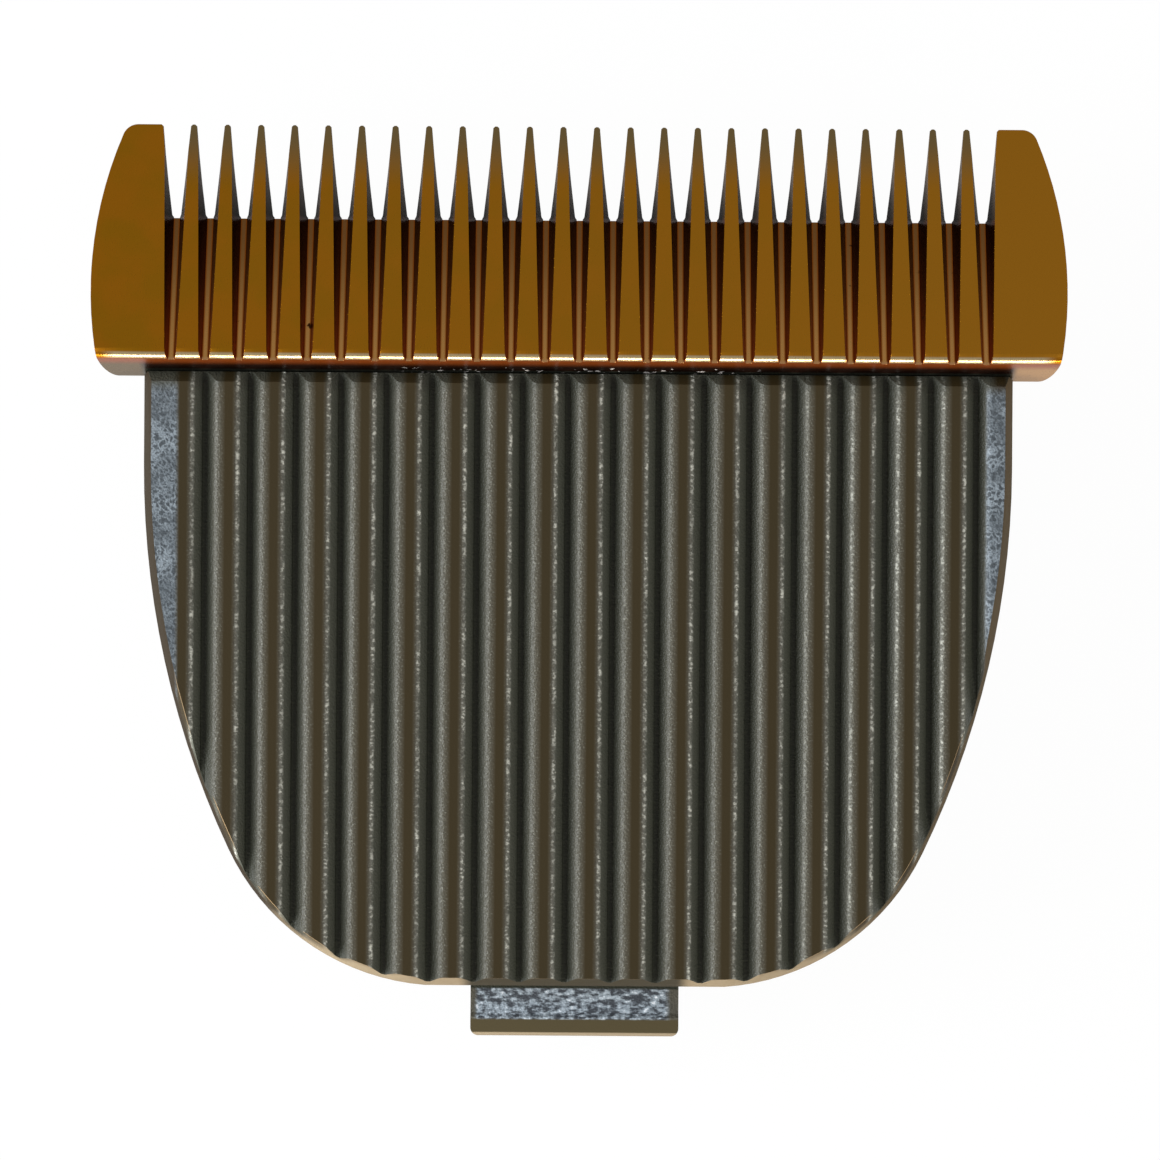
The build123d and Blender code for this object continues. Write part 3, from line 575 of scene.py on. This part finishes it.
def lapped_steel(look):
    """Bare hardened steel, lapped: a cool grey mirror broken by fine lines."""
    material, tree = new_material("lapped_hardened_steel")
    position = add_node(tree, "ShaderNodeTexCoord").outputs["Object"]
    stretch = (1 / look.lapping_length, 1 / look.lapping_width, 1 / look.lapping_width)
    lines = add_node(tree, "ShaderNodeMapping", None, {"Vector": position, "Scale": stretch}).outputs[0]
    lapping = add_node(
        tree, "ShaderNodeTexNoise", None, {"Vector": lines, "Scale": 1.0, "Detail": 3.0}
    ).outputs[0]
    colour = add_node(tree, MIX, BLEND, {0: lapping, 6: look.steel_dark, 7: look.steel_light}).outputs[2]
    rough = add_node(tree, MAP, None, {"Value": lapping, **LAPPED_ROUGHNESS}).outputs[0]
    shader = add_node(
        tree, "ShaderNodeBsdfPrincipled", None, {"Base Color": colour, "Metallic": 1.0, "Roughness": rough}
    )
    add_node(tree, "ShaderNodeOutputMaterial", None, {"Surface": shader.outputs[0]})
    return material


def moulded_acetal(look):
    """Natural acetal: off-white and waxy, with a fine moulded bloom."""
    material, tree = new_material("moulded_acetal")
    position = add_node(tree, "ShaderNodeTexCoord").outputs["Object"]
    bloom = add_node(
        tree, "ShaderNodeTexNoise", None, {"Vector": position, "Scale": 1 / look.bloom_size, "Detail": 4.0}
    ).outputs[0]
    colour = add_node(tree, MIX, BLEND, {0: bloom, 6: look.acetal_shade, 7: look.acetal_light}).outputs[2]
    bump = add_node(
        tree, "ShaderNodeBump", None, {"Strength": BLOOM_STRENGTH, "Distance": BLOOM_DEPTH, "Height": bloom}
    )
    shader = add_node(
        tree,
        "ShaderNodeBsdfPrincipled",
        None,
        {"Base Color": colour, "Roughness": ACETAL_ROUGHNESS, "Normal": bump.outputs[0]},
    )
    add_node(tree, "ShaderNodeOutputMaterial", None, {"Surface": shader.outputs[0]})
    return material


def drawn_wire(look):
    """Drawn spring wire: dark bright steel with faint streaks."""
    material, tree = new_material("drawn_spring_wire")
    position = add_node(tree, "ShaderNodeTexCoord").outputs["Object"]
    streaks = add_node(
        tree, "ShaderNodeTexNoise", None, {"Vector": position, "Scale": 1 / look.streak_size, "Detail": 3.0}
    ).outputs[0]
    colour = add_node(tree, MIX, BLEND, {0: streaks, 6: look.wire_dark, 7: look.wire_light}).outputs[2]
    shader = add_node(
        tree,
        "ShaderNodeBsdfPrincipled",
        None,
        {"Base Color": colour, "Metallic": 1.0, "Roughness": WIRE_ROUGHNESS},
    )
    add_node(tree, "ShaderNodeOutputMaterial", None, {"Surface": shader.outputs[0]})
    return material


def zinc_plate(look):
    """Zinc-plated screw steel: pale grey with a faint cloudy bloom."""
    material, tree = new_material("zinc_plated_steel")
    position = add_node(tree, "ShaderNodeTexCoord").outputs["Object"]
    cloud = add_node(
        tree, "ShaderNodeTexNoise", None, {"Vector": position, "Scale": 1 / look.cloud_size, "Detail": 4.0}
    ).outputs[0]
    colour = add_node(tree, MIX, BLEND, {0: cloud, 6: look.zinc_dark, 7: look.zinc_light}).outputs[2]
    rough = add_node(tree, MAP, None, {"Value": cloud, **ZINC_ROUGHNESS}).outputs[0]
    shader = add_node(
        tree, "ShaderNodeBsdfPrincipled", None, {"Base Color": colour, "Metallic": 1.0, "Roughness": rough}
    )
    add_node(tree, "ShaderNodeOutputMaterial", None, {"Surface": shader.outputs[0]})
    return material


def pale_floor(stage):
    """A plain pale table: white to the eye, a little darker where the object shades it."""
    material, tree = new_material("pale_table")
    rays = add_node(tree, "ShaderNodeLightPath").outputs
    seen = add_node(tree, MATH, LARGER, {0: rays["Is Camera Ray"], 1: rays["Is Transmission Ray"]}).outputs[0]
    seen = add_node(tree, MATH, LARGER, {0: seen, 1: rays["Is Glossy Ray"]}).outputs[0]
    glow = add_node(tree, MATH, TIMES, {0: seen, 1: stage.table_glow}).outputs[0]
    white = add_node(tree, "ShaderNodeEmission", None, {"Color": WHITE, "Strength": 1.0}).outputs[0]
    table = add_node(tree, "ShaderNodeBsdfDiffuse", None, {"Color": stage.table_colour}).outputs[0]
    mixed = add_node(tree, "ShaderNodeMixShader", None, {0: glow, 1: table, 2: white}).outputs[0]
    behind = add_node(tree, "ShaderNodeNewGeometry").outputs["Backfacing"]
    clear = add_node(tree, "ShaderNodeBsdfTransparent").outputs[0]
    surface = add_node(tree, "ShaderNodeMixShader", None, {0: behind, 1: mixed, 2: clear}).outputs[0]
    add_node(tree, "ShaderNodeOutputMaterial", None, {"Surface": surface})
    return material


def dressed_copy(node, piece_name, edge_width, material):
    """A merged copy of a solid with its sharp edges eased, standing where the solid is."""
    shape = bmesh.new()
    shape.from_mesh(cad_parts[node].data)
    bmesh.ops.remove_doubles(shape, verts=shape.verts, dist=MERGE_DISTANCE)
    bmesh.ops.dissolve_limit(
        shape, angle_limit=FLAT_ANGLE, use_dissolve_boundaries=False, verts=shape.verts, edges=shape.edges
    )
    for face in shape.faces:
        face.smooth = True
    mesh = bpy.data.meshes.new(piece_name)
    shape.to_mesh(mesh)
    shape.free()
    mesh.materials.append(material)
    piece = bpy.data.objects.new(piece_name, mesh)
    bpy.context.scene.collection.objects.link(piece)
    easing = piece.modifiers.new("eased_edges", "BEVEL")
    easing.width = edge_width
    easing.segments = EASING_SEGMENTS
    easing.limit_method = "ANGLE"
    easing.angle_limit = SHARP_ANGLE
    easing.harden_normals = False
    normals = piece.modifiers.new("flat_faces", "WEIGHTED_NORMAL")
    normals.keep_sharp = True
    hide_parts(node)
    return piece


def seat(piece, body):
    """Fixes a piece to its body."""
    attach(piece, body)


def colour_value(name, description, hex_colour):
    """A colour setting with its default given as an sRGB hex value."""
    return FloatVectorProperty(
        name=name, description=description, default=linear(hex_colour), size=4, subtype="COLOR", min=0, max=1
    )


def length_value(name, description, millimetres):
    """A length setting with its default given in millimetres."""
    return FloatProperty(name=name, description=description, default=millimetres * MM, unit="LENGTH")


def place_value(name, description, place):
    """A place setting."""
    return FloatVectorProperty(
        name=name, description=description, default=place, subtype="TRANSLATION", precision=5
    )


def spread_value(name, description, spread):
    """A lamp's width and height."""
    return FloatVectorProperty(name=name, description=description, default=spread, size=2, unit="LENGTH")


def power_value(name, description, watts):
    """A lamp's power."""
    return FloatProperty(name=name, description=description, default=watts, unit="POWER")


def tint_value(name, description, tint):
    """A lamp's colour."""
    return FloatVectorProperty(name=name, description=description, default=tint, subtype="COLOR")


class ClipperLook(bpy.types.PropertyGroup):
    """Colours of the finishes and sizes of their patterns."""

    land_gold: colour_value("Land gold", "Ground lands of the comb", "#C98119")
    land_olive: colour_value("Land olive", "Greener patches on the lands", "#BE8117")
    land_pale: colour_value("Land pale", "Paler lands to the right", "#CF8C26")
    floor_bronze: colour_value("Floor bronze", "Groove floors at the back", "#FFBE6C")
    floor_grey: colour_value("Floor grey", "Groove floors at the gaps", "#A87440")
    # Painted shade beside the painted highlight down the groove floors
    floor_side_shade: colour_value("Floor side", "Groove floors beside their bright middle", "#B8641E")
    # Painted highlight at the ends of the groove floors
    floor_end_highlight: colour_value("Floor end", "Groove floors at the back edge", "#FFC080")
    groove_wall: colour_value("Groove wall", "Walls of the grooves at the back", "#A8521A")
    groove_dark: colour_value("Groove dark", "Walls of the grooves at the gaps", "#5A2A12")
    # Painted dark reflection on the tooth sides, and painted shade toward the gap roots
    tooth_side: colour_value("Tooth side", "Sides of the teeth", "#5C5046")
    tooth_root_shade: colour_value("Tooth root", "Sides of the teeth at the gaps", "#2C2218")
    tooth_tip: colour_value("Tooth tip", "Greyer tips of the teeth", "#9A8256")
    # Painted highlight on the tumbled back edge
    back_edge_highlight: colour_value("Back edge", "Tumbled back edge", "#DEC698")
    wall_left: colour_value("Left wall", "Back of the left ear", "#5A482A")
    wall_right: colour_value("Right wall", "Back of the right ear", "#A57B4A")
    # Painted light and shade on the comb's back wall, and painted shade in the seam behind it
    wall_lit_brown: colour_value("Wall brown", "Back of the comb over the ribs", "#8A4216")
    wall_foot_shade: colour_value("Wall foot", "Back of the comb down at the ribs", "#1E0C06")
    seam_shade: colour_value("Grease", "Grey grease in the seam behind the comb", "#33352E")
    dirt: colour_value("Dirt", "Specks on the comb", "#4A2A10")
    seam_specks: colour_value("Lint", "Pale specks in the seam behind the comb", "#F4ECE8")
    mottle_size: length_value("Mottle", "Patches on the lands", 2.2)
    crumb_size: length_value("Crumb", "Specks on the comb", 0.5)
    seam_speck_size: length_value("Lint size", "Pale specks in the seam", 0.3)
    # The real lines are finer: these are drawn one pixel of the photo wide, so that they show
    grinding_width: length_value("Grinding width", "Grinding lines across", 0.05)
    grinding_length: length_value("Grinding length", "Grinding lines along", 3.0)
    plastic_crest: colour_value("Rib tops", "Rubbed tops of the ribs", "#342B18")
    # Painted light and shade across the ribs: lit left shoulders, shaded flanks, feet and valleys, and
    # painted glints
    plastic_shoulder: colour_value("Left shoulders", "Pitted left shoulders of the ribs", "#58554B")
    # Painted highlight along the shoulders of the ribs
    plastic_shoulder_highlight: colour_value("Right shoulders", "Worn right shoulders of the ribs", "#DCDCD0")
    plastic_flank: colour_value("Right flanks", "Right sides of the ribs, at the top", "#55564C")
    plastic_foot_shade: colour_value("Right feet", "Right sides of the ribs, at the valley", "#32342A")
    plastic_valley_shade: colour_value("Valleys", "Floors and left sides of the valleys", "#2F3028")
    plastic_shelter: colour_value("Rib fronts", "Ends of the ribs in the comb's shade", "#47473E")
    # Painted shade on the front bevels of the ribs, under the comb
    plastic_front: colour_value("Front bevels", "Bevels at the front of the ribs", "#4A4A40")
    plastic_glint: colour_value("Glints", "Bright grains on the shoulders", "#7E7E74")
    plastic_margin: colour_value("Margins", "Pitted flat faces", "#494F54")
    # Painted gleams and sparkle highlights on the flat faces and the hook
    plastic_gleam: colour_value("Gleams", "Wet-looking patches on the flat faces", "#B0BCC6")
    hook_dark: colour_value("Hook dark", "Dark pits of the hook", "#464A50")
    hook_sparkle: colour_value("Hook sparkle", "Brightest grains of the hook", "#F0F4FA")
    plastic_lip: colour_value("Hook lip", "Rubbed lip of the hook", "#4E452F")
    # Painted light and shade on the bevels, by the way they face
    edge_left_shade: colour_value("Left edge", "Bevel on the left", "#2A2010")
    edge_right_lit: colour_value("Right edge", "Bevel on the right", "#54462F")
    edge_rear_lit: colour_value("Rear edge", "Bevel at the rear", "#93836A")
    edge_hook_shade: colour_value("Hook root", "Bevel over the hook", "#3A3426")
    plastic_skirt: colour_value("Skirt", "Side walls of the carrier", "#2E2A1E")
    # Painted highlight on the ends of the ribs
    rib_end_highlight: colour_value("Rib ends", "Worn ends of the ribs", "#8E7656")
    grain_size: length_value("Grain", "Grains of the moulded faces", 0.1)
    gleam_width: length_value("Gleam width", "Wet-looking patches, along the head", 0.17)
    gleam_length: length_value("Gleam length", "Wet-looking patches, across the head", 0.32)
    # Length of the stretches of painted highlight and gleam
    highlight_stretch_size: length_value("Wear", "Worn stretches of the shoulders", 1.4)
    cell_size: length_value("Cells", "Pitted cells of the flat faces", 0.3)
    pit_size: length_value("Pits", "Pits of the moulded faces", 0.11)
    steel_light: colour_value("Steel light", "Lapped cutter, bright", "#C9C9CC")
    steel_dark: colour_value("Steel dark", "Lapped cutter, dark", "#A4A5A9")
    # Finer on the real cutter too, and drawn as wide as it takes to show
    lapping_width: length_value("Lapping width", "Lapping lines across", 0.06)
    lapping_length: length_value("Lapping length", "Lapping lines along", 4.0)
    acetal_light: colour_value("Acetal light", "Slider, bright", "#E9E7DF")
    acetal_shade: colour_value("Acetal shade", "Slider, shaded", "#DDDACF")
    bloom_size: length_value("Bloom", "Bloom on the slider", 0.8)
    wire_light: colour_value("Wire light", "Springs, bright", "#B4B4B8")
    wire_dark: colour_value("Wire dark", "Springs, dark", "#86868B")
    streak_size: length_value("Streak", "Streaks on the springs", 0.3)
    zinc_light: colour_value("Zinc light", "Screws, bright", "#CFD0D2")
    zinc_dark: colour_value("Zinc dark", "Screws, dark", "#A9ABB0")
    cloud_size: length_value("Cloud", "Clouds on the screws", 0.5)


class ClipperEdges(bpy.types.PropertyGroup):
    """How far the sharp edges are eased."""

    comb: length_value("Comb", "Edge of the comb", 0.035)
    carrier: length_value("Carrier", "Edge of the carrier", 0.11)
    cutter: length_value("Cutter", "Edge of the cutter", 0.02)
    slider: length_value("Slider", "Edge of the slider", 0.12)
    screw: length_value("Screw", "Edge of the screws", 0.05)
    wire: length_value("Wire", "Edge of the wire", 0.07)


class ClipperStage(bpy.types.PropertyGroup):
    """Camera, lamps and table."""

    camera_place: place_value("Camera", "Place of the camera", (0.13 * MM, 0.17 * MM, 213.4 * MM))
    focal_length: FloatProperty(name="Focal length", description="In millimetres", default=135.12)
    roll: FloatProperty(
        name="Roll", description="Turn of the picture", default=radians(0.385), subtype="ANGLE"
    )
    zenith_level: FloatProperty(name="Overhead", description="Light of the room from above", default=0.34)
    side_level: FloatProperty(name="Around", description="Light of the room from the sides", default=0.1)
    left_place: place_value("Left lamp", "Place of the left lamp", (-0.37, 0.0, 0.16))
    left_spread: spread_value("Left spread", "Size of the left lamp", (0.3, 0.26))
    left_power: power_value("Left power", "Soft lamp on the left", 3.2)
    left_tint: tint_value("Left tint", "Colour of the left lamp", (0.95, 0.98, 1.0))
    right_place: place_value("Right lamp", "Place of the right lamp", (0.33, 0.0, 0.24))
    right_spread: spread_value("Right spread", "Size of the right lamp", (0.3, 0.03))
    right_power: power_value("Right power", "Narrow lamp on the right", 0.5)
    right_tint: tint_value("Right tint", "Colour of the right lamp", (1.0, 1.0, 1.0))
    rear_place: place_value("Rear lamp", "Place of the rear lamp", (0.0, -0.4, 0.1))
    rear_spread: spread_value("Rear spread", "Size of the rear lamp", (0.4, 0.06))
    rear_power: power_value("Rear power", "Lamp behind the hook", 1.4)
    rear_tint: tint_value("Rear tint", "Colour of the rear lamp", (1.0, 0.94, 0.84))
    table_colour: colour_value("Table", "Colour of the table", "#F2F2F2")
    table_glow: FloatProperty(name="Table glow", description="How far shadows are lifted", default=0.97)


class CLIPPER_OT_comb_blade(bpy.types.Operator):
    """Dress the fixed comb blade"""

    bl_idname = "clipper.comb_blade"
    bl_label = "Comb blade"

    def execute(self, context):
        scene = context.scene
        material = coated_steel(scene.clipper_look)
        piece = dressed_copy("comb_blade", "gold_comb", scene.clipper_edges.comb, material)
        seat(piece, "head")
        return {"FINISHED"}


class CLIPPER_OT_blade_carrier(bpy.types.Operator):
    """Dress the moulded carrier"""

    bl_idname = "clipper.blade_carrier"
    bl_label = "Blade carrier"

    def execute(self, context):
        scene = context.scene
        material = carrier_plastic(scene.clipper_look)
        piece = dressed_copy("blade_carrier", "ribbed_carrier", scene.clipper_edges.carrier, material)
        seat(piece, "head")
        return {"FINISHED"}


class CLIPPER_OT_cutter_blade(bpy.types.Operator):
    """Dress the sliding cutter"""

    bl_idname = "clipper.cutter_blade"
    bl_label = "Cutter blade"

    def execute(self, context):
        scene = context.scene
        material = lapped_steel(scene.clipper_look)
        piece = dressed_copy("cutter_blade", "lapped_cutter", scene.clipper_edges.cutter, material)
        seat(piece, "cutter")
        return {"FINISHED"}


class CLIPPER_OT_drive_slider(bpy.types.Operator):
    """Dress the slider that drives the cutter"""

    bl_idname = "clipper.drive_slider"
    bl_label = "Drive slider"

    def execute(self, context):
        scene = context.scene
        material = moulded_acetal(scene.clipper_look)
        piece = dressed_copy("drive_slider", "acetal_slider", scene.clipper_edges.slider, material)
        seat(piece, "cutter")
        return {"FINISHED"}


class CLIPPER_OT_springs(bpy.types.Operator):
    """Dress the two torsion springs"""

    bl_idname = "clipper.springs"
    bl_label = "Springs"

    def execute(self, context):
        scene = context.scene
        material = drawn_wire(scene.clipper_look)
        for side in ("left", "right"):
            piece = dressed_copy(f"{side}_spring", f"{side}_wire", scene.clipper_edges.wire, material)
            seat(piece, "head")
        return {"FINISHED"}


class CLIPPER_OT_comb_screws(bpy.types.Operator):
    """Dress the screws that hold the comb"""

    bl_idname = "clipper.comb_screws"
    bl_label = "Comb screws"

    def execute(self, context):
        scene = context.scene
        material = zinc_plate(scene.clipper_look)
        piece = dressed_copy("comb_screws", "pan_screws", scene.clipper_edges.screw, material)
        seat(piece, "head")
        return {"FINISHED"}


def area_lamp(name, place, spread, power, tint):
    """A soft rectangular lamp that faces the head's skin side."""
    lamp = bpy.data.lights.new(name, "AREA")
    lamp.shape = "RECTANGLE"
    lamp.size, lamp.size_y = spread
    lamp.energy = power
    lamp.color = tint
    holder = bpy.data.objects.new(name, lamp)
    holder.location = place
    aim = Vector((0, 0, cad_high.z)) - Vector(place)
    holder.rotation_euler = aim.to_track_quat("-Z", "Y").to_euler()
    bpy.context.scene.collection.objects.link(holder)


def room(stage):
    """A dim room that is brighter overhead."""
    world = bpy.data.worlds.new("room")
    world.use_nodes = True
    tree = world.node_tree
    tree.nodes.clear()
    ray = add_node(tree, "ShaderNodeTexCoord").outputs["Generated"]
    up = add_node(tree, "ShaderNodeSeparateXYZ", None, {0: ray}).outputs["Z"]
    levels = {"To Min": stage.side_level, "To Max": stage.zenith_level}
    level = add_node(tree, MAP, SMOOTH, {"Value": up, **levels, **SKY_RISE}).outputs[0]
    air = add_node(tree, "ShaderNodeBackground", None, {"Color": WHITE, "Strength": level}).outputs[0]
    add_node(tree, "ShaderNodeOutputWorld", None, {"Surface": air})
    return world


class CLIPPER_OT_stage(bpy.types.Operator):
    """Set the table, the lamps and the camera"""

    bl_idname = "clipper.stage"
    bl_label = "Stage"

    def execute(self, context):
        scene = context.scene
        stage = scene.clipper_stage
        table = bmesh.new()
        bmesh.ops.create_grid(table, x_segments=1, y_segments=1, size=TABLE_HALF)
        mesh = bpy.data.meshes.new("table")
        table.to_mesh(mesh)
        table.free()
        mesh.materials.append(pale_floor(stage))
        floor = bpy.data.objects.new("table", mesh)
        scene.collection.objects.link(floor)

        scene.world = room(stage)
        area_lamp("left_lamp", stage.left_place, stage.left_spread, stage.left_power, stage.left_tint)
        area_lamp("right_lamp", stage.right_place, stage.right_spread, stage.right_power, stage.right_tint)
        area_lamp("rear_lamp", stage.rear_place, stage.rear_spread, stage.rear_power, stage.rear_tint)

        lens = bpy.data.cameras.new("photo_camera")
        lens.sensor_width = SENSOR_WIDTH
        lens.lens = stage.focal_length
        lens.clip_start = NEAREST
        lens.clip_end = FARTHEST
        camera = bpy.data.objects.new("photo_camera", lens)
        camera.location = stage.camera_place
        camera.rotation_euler = (0.0, 0.0, stage.roll)
        scene.collection.objects.link(camera)
        scene.camera = camera
        scene.view_settings.view_transform = "Standard"
        return {"FINISHED"}


OPERATORS = (
    CLIPPER_OT_comb_blade,
    CLIPPER_OT_blade_carrier,
    CLIPPER_OT_cutter_blade,
    CLIPPER_OT_drive_slider,
    CLIPPER_OT_springs,
    CLIPPER_OT_comb_screws,
    CLIPPER_OT_stage,
)


class CLIPPER_PT_sidebar(bpy.types.Panel):
    """Steps that dress the clipper blade"""

    bl_idname = "CLIPPER_PT_sidebar"
    bl_label = "Hair Clipper Blade"
    bl_space_type = "VIEW_3D"
    bl_region_type = "UI"
    bl_category = "Clipper"

    def draw(self, context):
        for operator in OPERATORS:
            self.layout.operator(operator.bl_idname)


GROUPS = {"clipper_look": ClipperLook, "clipper_edges": ClipperEdges, "clipper_stage": ClipperStage}


def register():
    """Adds the settings, the steps and the panel."""
    for name, group in GROUPS.items():
        bpy.utils.register_class(group)
        setattr(bpy.types.Scene, name, PointerProperty(type=group))
    for cls in (*OPERATORS, CLIPPER_PT_sidebar):
        bpy.utils.register_class(cls)


def unregister():
    """Takes away what register added."""
    for cls in (CLIPPER_PT_sidebar, *reversed(OPERATORS)):
        bpy.utils.unregister_class(cls)
    for name, group in GROUPS.items():
        delattr(bpy.types.Scene, name)
        bpy.utils.unregister_class(group)


def main():
    """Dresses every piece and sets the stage."""
    register()
    bpy.ops.clipper.comb_blade()
    bpy.ops.clipper.blade_carrier()
    bpy.ops.clipper.cutter_blade()
    bpy.ops.clipper.drive_slider()
    bpy.ops.clipper.springs()
    bpy.ops.clipper.comb_screws()
    bpy.ops.clipper.stage()


if __name__ == "__main__":
    main()
